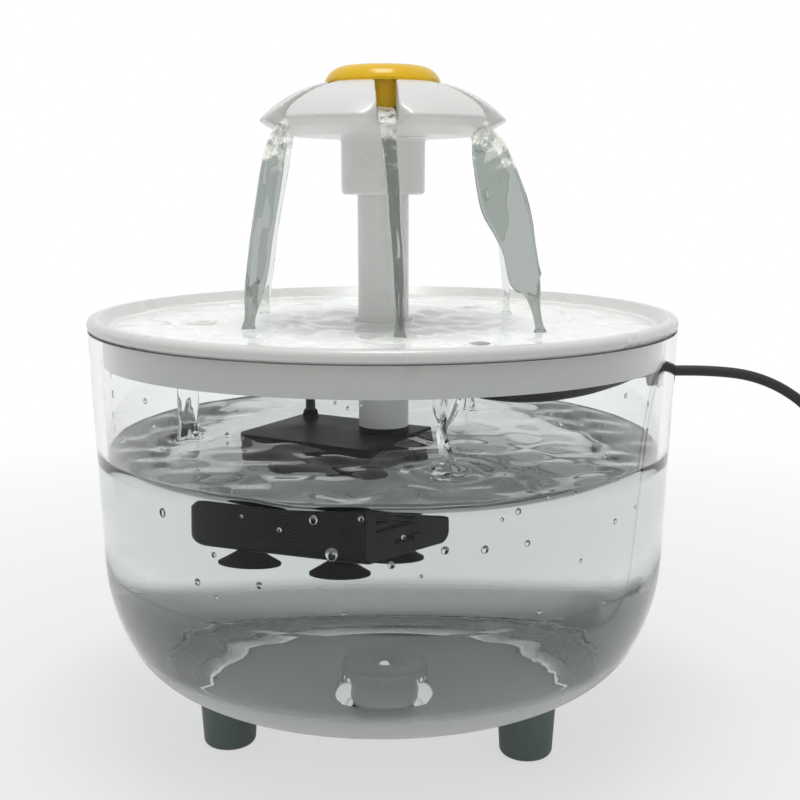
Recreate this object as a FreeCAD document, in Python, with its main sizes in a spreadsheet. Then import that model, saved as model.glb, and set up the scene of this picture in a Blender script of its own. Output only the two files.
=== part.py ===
import FreeCAD, Part
import math
import os
import Sketcher

V = FreeCAD.Vector
doc = FreeCAD.newDocument("fountain")

# Driving dimensions, in millimetres, degrees or counts.
SIZES = {
    # Clear bowl: a slightly tapered wall, a large rounded corner and a flat base.
    "bowl_rim_height": 136,
    "bowl_top_radius": 94.8,
    "wall_taper": 2.4,
    "corner_height": 38.8,
    "corner_radius": 22,
    "corner_width": 26.9,
    "base_height": 22.9,
    "bowl_wall": 3.2,
    "boss_radius": 10.5,
    "boss_height": 7,
    "dimple_radius": 6.5,
    "dimple_depth": 2,
    # Feet: three tapered plugs pushed onto pegs under the bowl.
    "foot_inset": 9.5,
    "foot_turn": 175.4,
    "foot_top_radius": 9.7,
    "foot_bottom_radius": 8.5,
    "foot_edge": 2,
    "peg_radius": 4,
    "peg_length": 9,
    # Tray: a dished lid whose skirt drops inside the bowl.
    "tray_overhang": 0.2,
    "tray_rim": 4,
    "skirt_gap": 1.3,
    "skirt_wall": 2.2,
    "skirt_depth": 9.4,
    "dish_depth": 5,
    "dish_floor": 2,
    "rim_land": 1.6,
    "dish_corner": 5,
    "hub_wall": 2.7,
    "hub_height": 1,
    "drain_circle": 60,
    "drain_turn": -92,
    "drain_radius": 3.2,
    "drain_wall": 1.6,
    "drain_top": 0.6,
    # Riser tube through the tray.
    "tube_radius": 8.3,
    "tube_wall": 1.8,
    "tube_below": 34,
    "tube_above": 58.7,
    "tube_flange": 1.3,
    "flange_thick": 1.2,
    # Flower head that turns on the tube, and the yellow heart dropped into it.
    "turn_fit": 0.08,
    "collar_radius": 13.5,
    "collar_height": 17.5,
    "socket_depth": 17,
    "well_radius": 16.2,
    "channel_floor": 21.4,
    "petal_radius": 39.5,
    "petal_edge": 22.4,
    "petal_lip": 1.6,
    "petal_top": 34.8,
    "petal_ring": 19,
    "petal_crown": 38,
    "petal_gap": 6.4,
    "petal_turn": 3,
    "dish_edge": 35.5,
    "petal_shoulder": 12,
    "petal_count": 6,
    "heart_radius": 18.4,
    "heart_flat": 10.3,
    "heart_height": 5.2,
    "heart_shoulder": 7.4,
    "heart_skirt": 8,
    "heart_wall": 1.8,
    "lift_gap": 0.3,
    # Pump: a flat box hung on the tube, long side away from the intake.
    "pump_turn": 150,
    "pump_front": 11,
    "pump_length": 51.5,
    "pump_width": 42,
    "pump_height": 32,
    "outlet_offset": 7.1,
    "pump_wall": 1.6,
    "pump_floor": 2.4,
    "pump_corner": 4,
    "cover_thick": 2,
    "lip_depth": 2,
    "lip_wall": 1.2,
    "slip_gap": 0.15,
    "mouth_depth": 5,
    "chamber_radius": 10.2,
    "chamber_depth": 9,
    "chamber_back": 2,
    "rotor_well": 6.2,
    "well_wall": 1,
    "well_depth": 19,
    "outlet_radius": 3.7,
    "nozzle_collar": 2.2,
    "nozzle_length": 13.5,
    "ring_section": 0.9,
    "ring_place": 9.5,
    "slot_count": 8,
    "slot_pitch": 2.6,
    "slot_height": 1.2,
    "slot_length": 31,
    "slider_travel": 8,
    "slider_stem": 4,
    "slider_thick": 1,
    "slider_height": 5,
    "shutter_width": 12,
    "shutter_height": 14,
    "shaft_radius": 1,
    "spin_fit": 0.05,
    "bush_wall": 1.2,
    "bush_length": 1.6,
    "magnet_radius": 5.6,
    "blade_radius": 9.2,
    "blade_thick": 1.2,
    "blade_count": 4,
    "core_leg": 4.8,
    "core_height": 10,
    "yoke_length": 5,
    "coil_build": 2.2,
    "cup_radius": 7.8,
    "cup_height": 5.3,
    "cup_neck": 3.2,
    "cup_nib": 2.4,
    "cup_spread": 13,
    "cup_first": 1,
    "cup_second": 27,
    "gland_radius": 2.7,
    "gland_tip": 2.2,
    "gland_height": 2.5,
    "gland_inset": 4.4,
    # Cable, its grommet in the bowl's rim, and its plug.
    "cable_radius": 1.75,
    "notch_drop": 16,
    "notch_radius": 3.3,
    "grommet_flange": 1.5,
    "grommet_brim": 1.8,
    "tie_width": 4.5,
    "tie_thick": 0.5,
    "coil_pitch": 4,
    "coil_inner": 14,
    "coil_away": 89.2,
    "coil_front": 78,
    "plug_length": 30,
    "plug_width": 16,
    "plug_height": 8,
    "relief_length": 9,
    "relief_radius": 2.9,
    "shell_length": 12,
    "shell_width": 12,
    "shell_height": 4.5,
    "shell_wall": 0.3,
}

sheet = doc.addObject("Spreadsheet::Sheet", "Sizes")
for row, (alias, size) in enumerate(SIZES.items(), 1):
    sheet.set(f"A{row}", alias)
    sheet.set(f"B{row}", str(size))
    sheet.setAlias(f"B{row}", alias)
doc.recompute()


def worded(formula):
    """A formula with each size's alias led by its sheet."""
    words, word = [], ""
    for letter in str(formula) + " ":
        if letter.isalnum() or letter in "_.":
            word += letter
            continue
        words.append("Sizes." + word if word in SIZES else word)
        words.append(letter)
        word = ""
    return "".join(words).strip()


def size(formula):
    """The value of a formula of sizes."""
    return float(sheet.evalExpression(worded(formula)))


# Heights and places that several pieces share.
FLOWER_LIFT = "bowl_rim_height + tube_above - socket_depth"
PUMP_TOP = "bowl_rim_height - tube_below - nozzle_collar"
SIDE_RADIUS = "(bowl_top_radius - wall_taper)"
BASE_RADIUS = "(bowl_top_radius - wall_taper - corner_width)"
FOOT_CIRCLE = "(bowl_top_radius - wall_taper - corner_width - foot_inset)"
TRAY_RADIUS = "(bowl_top_radius + tray_overhang)"
NOTCH_HEIGHT = "bowl_rim_height - notch_drop"
SKIRT_RADIUS = "(bowl_top_radius - bowl_wall - skirt_gap)"
SOCKET_RADIUS = "(tube_radius + turn_fit)"
PUMP_MIDDLE = "outlet_offset"
AXIS_HEIGHT = "pump_height/2"
MOUTH_END = "(mouth_depth + cover_thick - pump_front)"
CHAMBER_END = "(mouth_depth + cover_thick - pump_front + chamber_depth)"
REAR = "(pump_length - pump_front)"


def sub_part(name, x="0", y="0", z="0", turn="0"):
    """An empty body, placed by formulas."""
    body = doc.addObject("PartDesign::Body", name)
    body.Label = name
    body.Placement = FreeCAD.Placement(V(size(x), size(y), size(z)), FreeCAD.Rotation(V(0, 0, 1), size(turn)))
    for axis, formula in (("x", x), ("y", y), ("z", z)):
        body.setExpression("Placement.Base." + axis, worded(formula))
    if turn != "0":
        body.setExpression("Placement.Rotation.Angle", worded(turn))
    return body


def origin_feature(body, role):
    return [one for one in body.Origin.OriginFeatures if one.Role == role][0]


def sketch(body, name, role="XZ_Plane", shift="0"):
    """A sketch on one of the body's own origin planes, shifted along its normal."""
    page = body.newObject("Sketcher::SketchObject", name)
    page.AttachmentSupport = [(origin_feature(body, role), "")]
    page.MapMode = "FlatFace"
    if shift != "0":
        page.setExpression("AttachmentOffset.Base.z", worded(shift))
    return page


def hold(page, kind, formula, *where):
    """One dimension of a sketch, bound to a formula."""
    page.addConstraint(Sketcher.Constraint(kind, *where, size(formula)))
    page.setExpression(f"Constraints[{page.ConstraintCount - 1}]", worded(formula))


def pin_point(page, geometry, end, x, y):
    hold(page, "DistanceX", x, -1, 1, geometry, end)
    hold(page, "DistanceY", y, -1, 1, geometry, end)


def outline(page, corners):
    """A closed outline through corners (x, y) or (x, y, radius), all formulas.

    A radius makes an arc to the next corner, which bulges to the right of the way there,
    or to the left where the radius has a minus sign in front."""
    runs = []
    for number, corner in enumerate(corners):
        after = corners[(number + 1) % len(corners)]
        start, end = (V(size(one[0]), size(one[1]), 0) for one in (corner, after))
        if len(corner) == 2:
            runs.append((page.addGeometry(Part.LineSegment(start, end), False), 1, 2))
            continue
        left = corner[2].startswith("-")
        radius = corner[2].lstrip("-")
        chord = end - start
        rise = math.sqrt(max(size(radius) ** 2 - (chord.Length / 2) ** 2, 0))
        side = V(-chord.y, chord.x, 0).normalize() * (-1 if left else 1)
        centre = (start + end) * 0.5 + side * rise
        first, last = (end, start) if left else (start, end)
        begin, stop = (math.atan2(one.y - centre.y, one.x - centre.x) for one in (first, last))
        circle = Part.Circle(centre, V(0, 0, 1), size(radius))
        arc = page.addGeometry(Part.ArcOfCircle(circle, begin, stop), False)
        runs.append((arc, 2, 1) if left else (arc, 1, 2))
        if rise > 1e-6:
            hold(page, "Radius", radius, arc)
        elif abs(chord.x) > abs(chord.y):
            hold(page, "DistanceY", corner[1], -1, 1, arc, 3)
        else:
            hold(page, "DistanceX", corner[0], -1, 1, arc, 3)
    for number, (run, start, end) in enumerate(runs):
        following, first, _ = runs[(number + 1) % len(runs)]
        page.addConstraint(Sketcher.Constraint("Coincident", run, end, following, first))
        pin_point(page, run, start, corners[number][0], corners[number][1])
    return page


def ring(page, radius, x="0", y="0"):
    """A circle in a sketch."""
    circle = Part.Circle(V(size(x), size(y), 0), V(0, 0, 1), size(radius))
    number = page.addGeometry(circle, False)
    pin_point(page, number, 3, x, y)
    hold(page, "Radius", radius, number)
    return page


def box_outline(page, x_low, x_high, y_low, y_high):
    return outline(page, [(x_low, y_low), (x_high, y_low), (x_high, y_high), (x_low, y_high)])


def volume(body):
    doc.recompute()
    return body.Shape.Volume if body.Shape.Solids else 0.0


def add(body, kind, page, **settings):
    """One feature made from a sketch, checked to add or take material as its kind says."""
    before = volume(body)
    feature = body.newObject("PartDesign::" + kind, f"{body.Name}_{kind}")
    feature.Profile = page
    for name, setting in settings.items():
        if name in ("Length", "Length2", "Angle"):
            feature.setExpression(name, worded(setting))
        else:
            setattr(feature, name, setting)
    after = volume(body)
    takes = kind in ("Pocket", "Groove")
    if (after >= before - 1e-6) if takes else (after <= before + 1e-6):
        raise RuntimeError(f"{feature.Name} changes nothing: {before:.3f} to {after:.3f}")
    return feature


def spin(body, page, kind="Revolution", axis="Z_Axis"):
    """A full turn of a sketch about one of the body's own axes."""
    return add(body, kind, page, ReferenceAxis=(origin_feature(body, axis), [""]), Angle="360")


def pad(body, page, length, back=False):
    return add(body, "Pad", page, Length=length, Reversed=back)


def cut(body, page, length, along=True):
    """A pocket that goes along the sketch's normal, or against it."""
    return add(body, "Pocket", page, Length=length, Reversed=along)


def repeat(body, features, count, axis="Z_Axis"):
    """A full ring of copies of some features, which becomes the body's tip."""
    before = volume(body)
    pattern = body.newObject("PartDesign::PolarPattern", body.Name + "_pattern")
    pattern.Originals = features
    pattern.Axis = (origin_feature(body, axis), [""])
    pattern.Angle = 360
    pattern.setExpression("Occurrences", worded(count))
    body.Tip = pattern
    if abs(volume(body) - before) < 1e-6:
        raise RuntimeError(f"{pattern.Name} repeats nothing")
    return pattern


def soften(body, radius, wanted, kind="Fillet"):
    """A fillet or chamfer on every edge for which wanted(edge) is true."""
    doc.recompute()
    names = [f"Edge{n}" for n, edge in enumerate(body.Shape.Edges, 1) if wanted(edge)]
    if not names:
        raise RuntimeError(f"{body.Name} has no edge to soften")
    feature = body.newObject("PartDesign::" + kind, f"{body.Name}_{kind}")
    feature.Base = (body.Tip if body.Tip != feature else feature.BaseFeature, names)
    feature.setExpression("Radius" if kind == "Fillet" else "Size", worded(radius))
    doc.recompute()
    return feature


def local(body, point):
    return body.Placement.inverse().multVec(point)


def edge_middle(body, edge):
    """The middle of an edge in the body's own frame."""
    return local(body, edge.valueAt((edge.FirstParameter + edge.LastParameter) / 2))


# Bowl: one clear moulding with a flat base, three pegs under it and a low dimpled boss inside.
def bowl_profile(page):
    """The outside of the bowl: base, two tangent arcs for the corner, and the tapered wall."""
    base = V(size(BASE_RADIUS), size("base_height"), 0)
    side = V(size(SIDE_RADIUS), size("base_height + corner_height"), 0)
    top = V(size("bowl_top_radius"), size("bowl_rim_height"), 0)
    lean = (top - side).normalize()
    inward = V(-lean.y, lean.x, 0)
    small = size("corner_radius")
    low_centre = base + V(0, small, 0)
    reach = side - low_centre
    large = (small**2 - reach.dot(reach)) / (2 * (reach.dot(inward) + small))
    high_centre = side + inward * large
    meeting = low_centre + (low_centre - high_centre).normalize() * small
    at = [V(0, base.y, 0), base, meeting, side, top, V(0, top.y, 0)]

    def arc(centre, radius, first, last):
        angles = [math.atan2(one.y - centre.y, one.x - centre.x) for one in (first, last)]
        return Part.ArcOfCircle(Part.Circle(centre, V(0, 0, 1), radius), *angles)

    shapes = [
        Part.LineSegment(at[0], at[1]),
        arc(low_centre, small, at[1], at[2]),
        arc(high_centre, large, at[2], at[3]),
        Part.LineSegment(at[3], at[4]),
        Part.LineSegment(at[4], at[5]),
        Part.LineSegment(at[5], at[0]),
    ]
    for shape in shapes:
        page.addGeometry(shape, False)
    for number in (0, 1, 2):
        page.addConstraint(Sketcher.Constraint("Tangent", number, 2, number + 1, 1))
    for number in (3, 4, 5):
        page.addConstraint(Sketcher.Constraint("Coincident", number, 2, (number + 1) % 6, 1))
    pin_point(page, 0, 1, "0", "base_height")
    pin_point(page, 0, 2, BASE_RADIUS, "base_height")
    pin_point(page, 3, 1, SIDE_RADIUS, "base_height + corner_height")
    pin_point(page, 3, 2, "bowl_top_radius", "bowl_rim_height")
    pin_point(page, 4, 2, "0", "bowl_rim_height")
    hold(page, "Radius", "corner_radius", 1)


def foot_place(number):
    """Where a foot stands, as formulas: azimuth 0 is the front, and it grows to the right."""
    turn = f"(foot_turn + {number}*120)"
    return f"{FOOT_CIRCLE}*sin({turn})", f"0 - {FOOT_CIRCLE}*cos({turn})"


def make_bowl():
    body = sub_part("bowl")
    page = sketch(body, "bowl_outside")
    bowl_profile(page)
    spin(body, page)
    top = max(range(len(body.Shape.Faces)), key=lambda n: body.Shape.Faces[n].CenterOfMass.z)
    shell = body.newObject("PartDesign::Thickness", "bowl_hollow")
    shell.Base = (body.Tip if body.Tip != shell else shell.BaseFeature, [f"Face{top + 1}"])
    shell.setExpression("Value", worded("bowl_wall"))
    shell.Reversed = True
    doc.recompute()
    floor = "base_height + bowl_wall"
    boss = outline(sketch(body, "floor_boss"), [
        ("0", f"{floor} - 1"),
        ("boss_radius + 0.6", f"{floor} - 1"),
        ("boss_radius", f"{floor} + boss_height - 1.5", "-2"),
        ("boss_radius - 1.5", f"{floor} + boss_height"),
        ("dimple_radius", f"{floor} + boss_height"),
        ("0", f"{floor} + boss_height - dimple_depth"),
    ])
    spin(body, boss)
    for number in range(3):
        peg = sketch(body, f"peg_{number}", "XY_Plane", "base_height")
        ring(peg, "peg_radius", *foot_place(number))
        pad(body, peg, "peg_length", back=True)
    notch = sketch(body, "cable_notch", "YZ_Plane", f"{SIDE_RADIUS} - 20")
    outline(notch, [
        ("0 - notch_radius", f"{NOTCH_HEIGHT}", "notch_radius"),
        ("notch_radius", f"{NOTCH_HEIGHT}"),
        ("notch_radius", "bowl_rim_height + 5"),
        ("0 - notch_radius", "bowl_rim_height + 5"),
    ])
    cut(body, notch, "40")
    return body


# Feet: soft grey-green plugs with a blind socket for the bowl's peg.
def make_foot(name, number):
    x, y = foot_place(number)
    body = sub_part(name, x, y)
    spin(body, outline(sketch(body, name + "_profile"), [
        ("0", "0"),
        ("foot_bottom_radius - foot_edge", "0", "foot_edge"),
        ("foot_bottom_radius", "foot_edge"),
        ("foot_top_radius", "base_height"),
        ("peg_radius", "base_height"),
        ("peg_radius", "base_height - peg_length"),
        ("0", "base_height - peg_length"),
    ]))
    return body


# Tray: white dished lid with a rounded rim, a skirt inside the bowl, a hub for the tube and drains.
def make_tray():
    body = sub_part("tray", z="bowl_rim_height")
    skirt = SKIRT_RADIUS
    floor = "0 - dish_depth"
    under = "0 - dish_depth - dish_floor"
    hub = "tube_radius + hub_wall"
    spin(body, outline(sketch(body, "tray_profile"), [
        ("tube_radius", f"{under} - 2"),
        (hub, f"{under} - 2"),
        (hub, under),
        (f"{skirt} - skirt_wall", under),
        (f"{skirt} - skirt_wall", "0 - skirt_depth"),
        (skirt, "0 - skirt_depth"),
        (skirt, "0"),
        (f"{TRAY_RADIUS} - tray_rim/2", "0", "tray_rim/2"),
        (TRAY_RADIUS, "tray_rim/2", "tray_rim/2"),
        (f"{TRAY_RADIUS} - tray_rim/2", "tray_rim"),
        (f"{TRAY_RADIUS} - tray_rim/2 - rim_land", "tray_rim"),
        (f"{skirt} - skirt_wall", "0", "-dish_corner + 1"),
        (f"{skirt} - skirt_wall - dish_corner", floor),
        (hub, floor),
        (hub, "hub_height"),
        ("tube_radius", "hub_height"),
    ]))
    pipe = ring(sketch(body, "drain_pipe", "XY_Plane", under),
                "drain_radius + drain_wall", *drain_place())
    pipes = pad(body, pipe, "dish_depth + dish_floor - drain_top")
    hole = ring(sketch(body, "drain_hole", "XY_Plane", f"{under} - 1"), "drain_radius", *drain_place())
    holes = cut(body, hole, "dish_depth + dish_floor + 4")
    repeat(body, [pipes, holes], "3")
    return body


def drain_place():
    return "drain_circle*sin(drain_turn)", "0 - drain_circle*cos(drain_turn)"


# Riser tube: white, held by its flange on the tray's hub, pushed over the pump's nozzle.
def make_tube():
    body = sub_part("riser_tube", z="bowl_rim_height")
    spin(body, outline(sketch(body, "tube_profile"), [
        ("tube_radius - tube_wall", "0 - tube_below"),
        ("tube_radius", "0 - tube_below"),
        ("tube_radius", "hub_height"),
        ("tube_radius + tube_flange", "hub_height"),
        ("tube_radius + tube_flange", "hub_height + flange_thick"),
        ("tube_radius", "hub_height + flange_thick"),
        ("tube_radius", "tube_above"),
        ("tube_radius - tube_wall", "tube_above"),
    ]))
    return body


# Flower: collar, dish and six puffed petals in one white moulding, with a channel in each gap.
def make_flower():
    body = sub_part("flower_petals", z=FLOWER_LIFT, turn="petal_turn")
    spin(body, outline(sketch(body, "flower_profile"), [
        (SOCKET_RADIUS, "0"),
        ("collar_radius - 1", "0", "1"),
        ("collar_radius", "1"),
        ("collar_radius", "collar_height"),
        ("28", "collar_height + 0.7"),
        ("36", "collar_height + 3.3"),
        ("petal_radius - petal_lip/2", "petal_edge", "petal_lip/1.9"),
        ("petal_radius - petal_lip/2 + 0.1", "petal_edge + petal_lip", "petal_crown"),
        ("petal_ring", "petal_top"),
        ("well_radius", "petal_top"),
        ("well_radius", "channel_floor"),
        ("tube_radius - tube_wall", "channel_floor"),
        ("tube_radius - tube_wall", "socket_depth"),
        (SOCKET_RADIUS, "socket_depth"),
    ]))
    channel = sketch(body, "channel", "XY_Plane", "channel_floor")
    box_outline(channel, "0 - petal_gap/2", "petal_gap/2", "0 - petal_radius - 5", "0 - well_radius + 2")
    channels = cut(body, channel, "petal_top")
    notch = sketch(body, "petal_notch", "XY_Plane", "collar_height")
    outline(notch, [
        ("0 - petal_gap/2", "0 - dish_edge", "-petal_shoulder"),
        ("0 - petal_gap/2 - 9", "0 - petal_radius - 1"),
        ("0 - petal_gap/2 - 9", "0 - petal_radius - 6"),
        ("petal_gap/2 + 9", "0 - petal_radius - 6"),
        ("petal_gap/2 + 9", "0 - petal_radius - 1", "-petal_shoulder"),
        ("petal_gap/2", "0 - dish_edge"),
    ])
    notches = cut(body, notch, "petal_top")
    repeat(body, [channels, notches], "petal_count")
    return body


# Heart: the yellow cap, whose brim rests on the petals and whose skirt hangs in the well.
def make_heart():
    body = sub_part("flower_heart", z=FLOWER_LIFT + " + petal_top")
    skirt = "well_radius - lift_gap"
    spin(body, outline(sketch(body, "heart_profile"), [
        (f"{skirt} - heart_wall", "0 - heart_skirt"),
        (skirt, "0 - heart_skirt"),
        (skirt, "0"),
        ("heart_radius", "0"),
        ("heart_radius", "0.8", "heart_shoulder"),
        ("heart_flat", "heart_height"),
        ("0", "heart_height"),
        ("0", "heart_height - heart_wall"),
        ("heart_flat", "heart_height - heart_wall"),
        (f"{skirt} - heart_wall", "0"),
    ]))
    return body


# Pump: every piece of it is placed in the pump's own frame, at the outlet on its top face.
def pump_part(name):
    return sub_part(name, z=PUMP_TOP, turn="pump_turn")


def pump_section(page, inset="0", floor=None):
    """The pump's section across its length, drawn inwards by an inset."""
    half = f"(pump_width/2 - ({inset}))"
    low = f"0 - pump_height + {floor or inset}"
    return box_outline(page, f"{PUMP_MIDDLE} - {half}", f"{PUMP_MIDDLE} + {half}", low, f"0 - ({inset})")


def axis_ring(page, radius):
    return ring(page, radius, PUMP_MIDDLE, f"0 - {AXIS_HEIGHT}")


def make_housing():
    body = pump_part("pump_housing")
    front = "cover_thick - pump_front"
    pad(body, pump_section(sketch(body, "housing_section", "YZ_Plane", front)), "pump_length - cover_thick")
    rear = size(REAR)
    low = -size("pump_height")

    def rounded(edge):
        middle = edge_middle(body, edge)
        level = edge.BoundBox.ZLength < 0.01
        upright = edge.BoundBox.ZLength > 5
        return (upright and middle.x > rear - 0.1) or (level and middle.z < low + 0.1 and middle.x > -6)

    soften(body, "pump_corner", rounded)
    mouth = pump_section(sketch(body, "mouth", "YZ_Plane", front), "pump_wall", "pump_floor")
    cut(body, mouth, "mouth_depth")
    chamber = axis_ring(sketch(body, "chamber", "YZ_Plane", MOUTH_END), "chamber_radius - pump_floor + pump_wall")
    cut(body, chamber, "chamber_depth")
    well = axis_ring(sketch(body, "rotor_well", "YZ_Plane", CHAMBER_END), "rotor_well")
    cut(body, well, "chamber_back + well_depth")
    can_end = f"{CHAMBER_END} + chamber_back + well_depth + well_wall"
    rear_space = pump_section(sketch(body, "rear_space", "YZ_Plane", can_end), "pump_corner", "pump_corner")
    cut(body, rear_space, "pump_length")
    around = sketch(body, "around_can", "YZ_Plane", f"{CHAMBER_END} + chamber_back")
    pump_section(around, "pump_corner", "pump_corner")
    axis_ring(around, "rotor_well + well_wall")
    cut(body, around, "pump_length")
    outlet = ring(sketch(body, "outlet", "XY_Plane"), "outlet_radius")
    cut(body, outlet, "pump_height/3", along=False)
    for number, (x, y) in enumerate(cup_places()):
        nib = ring(sketch(body, f"nib_hole_{number}", "XY_Plane", "0 - pump_height"), "cup_nib", x, y)
        cut(body, nib, "pump_floor - 0.8")
    return body


def cup_places():
    return [(x, f"{PUMP_MIDDLE} {sign} cup_spread") for x in ("cup_first", "cup_second") for sign in "+-"]


def make_front_cover():
    body = pump_part("pump_front_cover")
    pad(body, pump_section(sketch(body, "cover_section", "YZ_Plane", "0 - pump_front")), "cover_thick")
    low = -size("pump_height")

    def lower_corner(edge):
        ends = [local(body, vertex.Point) for vertex in edge.Vertexes]
        return abs(ends[0].x - ends[-1].x) > 1 and max(end.z for end in ends) < low + 0.1

    soften(body, "pump_corner", lower_corner)
    soften(body, "cover_thick/2", lambda edge: edge_middle(body, edge).x < 0.1 - size("pump_front"))
    lip = pump_section(sketch(body, "lip", "YZ_Plane", "cover_thick - pump_front"),
                       "pump_wall + slip_gap", "pump_floor + slip_gap")
    pad(body, lip, "lip_depth")
    inside = pump_section(sketch(body, "lip_inside", "YZ_Plane", "cover_thick - pump_front"),
                          "pump_wall + slip_gap + lip_wall", "pump_floor + slip_gap + lip_wall")
    cut(body, inside, "lip_depth")
    half = "slot_length/2"
    for number in range(int(size("slot_count"))):
        height = f"0 - 4.4 - {number}*slot_pitch"
        slot = sketch(body, f"slot_{number}", "YZ_Plane", "0 - pump_front - 1")
        box_outline(slot, f"{PUMP_MIDDLE} - {half}", f"{PUMP_MIDDLE} + {half}", height, f"{height} + slot_height")
        cut(body, slot, "cover_thick + 2")
    track = sketch(body, "slider_track", "YZ_Plane", "0 - pump_front - 1")
    reach = "(slider_travel/2 + slider_stem/2 + lift_gap)"
    level = f"(slider_height - slider_thick/2 - lift_gap - pump_height)"
    box_outline(track, f"{PUMP_MIDDLE} - {reach}", f"{PUMP_MIDDLE} + {reach}",
                level, f"{level} + slider_thick + 2*lift_gap")
    cut(body, track, "cover_thick + 2")
    return body


def make_flow_slider():
    """The tab that slides a shutter across the intake slots: a head, a stem and the shutter."""
    body = pump_part("flow_slider")
    middle = f"({PUMP_MIDDLE} - slider_travel/2)"
    level = "(slider_height - pump_height)"
    inside = "cover_thick - pump_front + lift_gap"
    stem = sketch(body, "slider_stem_section", "YZ_Plane", "0 - pump_front - lift_gap")
    box_outline(stem, f"{middle} - slider_stem/2", f"{middle} + slider_stem/2",
                f"{level} - slider_thick/2", f"{level} + slider_thick/2")
    pad(body, stem, "cover_thick + 2*lift_gap")
    shutter = sketch(body, "shutter", "YZ_Plane", inside)
    box_outline(shutter, f"{middle} - shutter_width/2", f"{middle} + shutter_width/2",
                f"{level} - slider_thick/2", f"{level} + shutter_height")
    pad(body, shutter, "slider_thick - 0.2")
    head = sketch(body, "slider_head", "YZ_Plane", "0 - pump_front - lift_gap - slider_thick")
    box_outline(head, f"{middle} - slider_stem/2 - 0.6", f"{middle} + slider_stem/2 + 0.6",
                f"{level} - slider_thick", f"{level} + slider_thick")
    pad(body, head, "slider_thick")
    return body


def make_sponge():
    body = pump_part("intake_sponge")
    front = "cover_thick - pump_front + lip_depth"
    block = pump_section(sketch(body, "sponge_section", "YZ_Plane", front), "pump_wall + lift_gap", "pump_floor + lift_gap")
    pad(body, block, "mouth_depth - lip_depth - 1.5")
    return body


def make_volute_cover():
    """The wall between sponge and impeller, with the inlet holes round the front bush."""
    body = pump_part("volute_cover")
    plate = pump_section(sketch(body, "volute_plate", "YZ_Plane", f"{MOUTH_END} - 1.5"), "pump_wall", "pump_floor")
    pad(body, plate, "1.5")
    centre = axis_ring(sketch(body, "bush_hole", "YZ_Plane", f"{MOUTH_END} - 2"), "shaft_radius + bush_wall")
    cut(body, centre, "3")
    for number in range(5):
        turn = f"({number}*72)"
        page = sketch(body, f"inlet_{number}", "YZ_Plane", f"{MOUTH_END} - 2")
        ring(page, "1.4", f"{PUMP_MIDDLE} + 4.4*cos{turn}", f"0 - {AXIS_HEIGHT} + 4.4*sin{turn}")
        cut(body, page, "3")
    return body


def axis_part(name):
    """A round piece on the impeller's axis: its own Z runs along the pump, from the outlet back."""
    body = doc.addObject("PartDesign::Body", name)
    body.Label = name
    turn = FreeCAD.Rotation(V(0, 0, 1), size("pump_turn"))
    place = turn.multVec(V(0, size(PUMP_MIDDLE), 0)) + V(0, 0, size(f"{PUMP_TOP} - {AXIS_HEIGHT}"))
    body.Placement = FreeCAD.Placement(place, turn * FreeCAD.Rotation(V(0, 1, 0), 90))
    body.setExpression("Placement.Base.x", worded(f"0 - {PUMP_MIDDLE}*sin(pump_turn)"))
    body.setExpression("Placement.Base.y", worded(f"{PUMP_MIDDLE}*cos(pump_turn)"))
    body.setExpression("Placement.Base.z", worded(f"{PUMP_TOP} - {AXIS_HEIGHT}"))
    return body


def washer(name, inner, outer, start, end):
    body = axis_part(name)
    spin(body, outline(sketch(body, name + "_profile"), [
        (inner, start), (outer, start), (outer, end), (inner, end)]))
    return body


def make_rotor_parts():
    """The fixed shaft, its two bushes, and what spins on it: the magnet and the impeller."""
    well_end = f"{CHAMBER_END} + chamber_back + well_depth"
    bush = "shaft_radius + bush_wall"
    run = "shaft_radius + spin_fit"
    front = f"{MOUTH_END} - 1.5"
    shaft = washer("impeller_shaft", "0", "shaft_radius", front, f"{well_end}")
    front_bush = washer("front_bush", "shaft_radius", bush, front, f"{front} + bush_length")
    rear_bush = washer("rear_bush", "shaft_radius", "rotor_well", f"{well_end} - bush_length", well_end)
    magnet_start = f"{CHAMBER_END} + chamber_back + 0.3"
    magnet = washer("rotor_magnet", run, "magnet_radius", magnet_start, f"{well_end} - bush_length - lift_gap")
    body = axis_part("impeller")
    start = f"{front} + bush_length + lift_gap"
    blade_end = f"{CHAMBER_END} - 1.2"
    spin(body, outline(sketch(body, "impeller_hub"), [
        (run, start), ("shaft_radius + 1.6", start), ("shaft_radius + 1.6", f"{blade_end} + 0.6"),
        ("magnet_radius", f"{CHAMBER_END} + 0.3"), ("magnet_radius", magnet_start), (run, magnet_start)]))
    blade = sketch(body, "blade", "XY_Plane", f"{start} + 0.4")
    box_outline(blade, "shaft_radius + 1.2", "blade_radius", "0 - blade_thick/2", "blade_thick/2")
    repeat(body, [pad(body, blade, f"{blade_end} - ({start} + 0.4)")], "blade_count")
    return [shaft, front_bush, rear_bush, magnet, body]


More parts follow.
